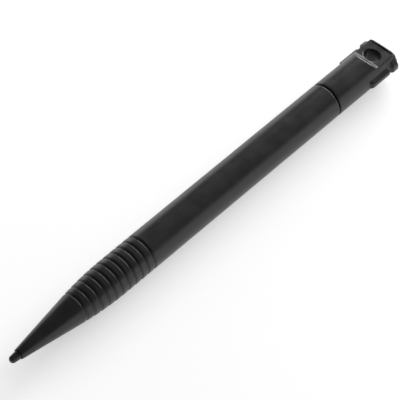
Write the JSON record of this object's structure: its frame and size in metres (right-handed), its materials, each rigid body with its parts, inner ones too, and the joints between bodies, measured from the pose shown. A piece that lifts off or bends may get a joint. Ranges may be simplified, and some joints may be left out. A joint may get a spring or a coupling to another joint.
{
  "type": "digitizer stylus",
  "caption": "Slim round black stylus with a ribbed conical grip, a replaceable nib, and a rear cap with side rails and an oval tether slot.",
  "frame": {"origin": "centre of the stylus's box, at its lowest point as it lies on its side", "axes": "+X along the pen towards the tether slot, nib towards -X; +Z along the tether slot; rails at +Y and -Y"},
  "size_m": [0.127, 0.0112, 0.0095],
  "materials": {
    "casing": "satin moulded",
    "nib": "smooth",
    "rubber": "matt",
    "ferrite": "sintered",
    "copper": "enamelled wire",
    "tape": "film",
    "moulding": "moulded",
    "steel": "drawn",
    "ceramic": "fired",
    "board": "solder mask",
    "chip": "fired"
  },
  "bodies": {
    "casing": {"front_barrel": "casing", "rear_cap": "casing", "cap_seal_ring": "rubber", "ferrite_cushion": "rubber", "end_cushion": "rubber", "ferrite_core": "ferrite", "antenna_coil": "copper", "coil_lead_left": "copper", "coil_lead_right": "copper", "coil_sleeve": "tape", "sensor_housing": "moulding", "board_carrier": "moulding", "return_spring": "steel", "rear_terminal": "steel", "dielectric_disc": "ceramic", "trimmer_capacitor": "ceramic", "circuit_board": "board", "tuning_capacitor_1": "chip", "tuning_capacitor_2": "chip", "tuning_capacitor_3": "chip", "tuning_capacitor_4": "chip"},
    "holder": {"nib_holder": "moulding", "contact_dome": "rubber"},
    "nib": {"nib": "nib"}
  },
  "joints": [
    {"name": "nib_press", "type": "slide", "parent": "casing", "child": "holder", "axis": [1, 0, 0], "range_m": [0, 0.00035], "stiffness_N_per_m": 400, "deforming": ["return_spring"]},
    {"name": "nib_pull", "type": "slide", "parent": "holder", "child": "nib", "axis": [-1, 0, 0], "range_m": [0, 0.03]}
  ]
}
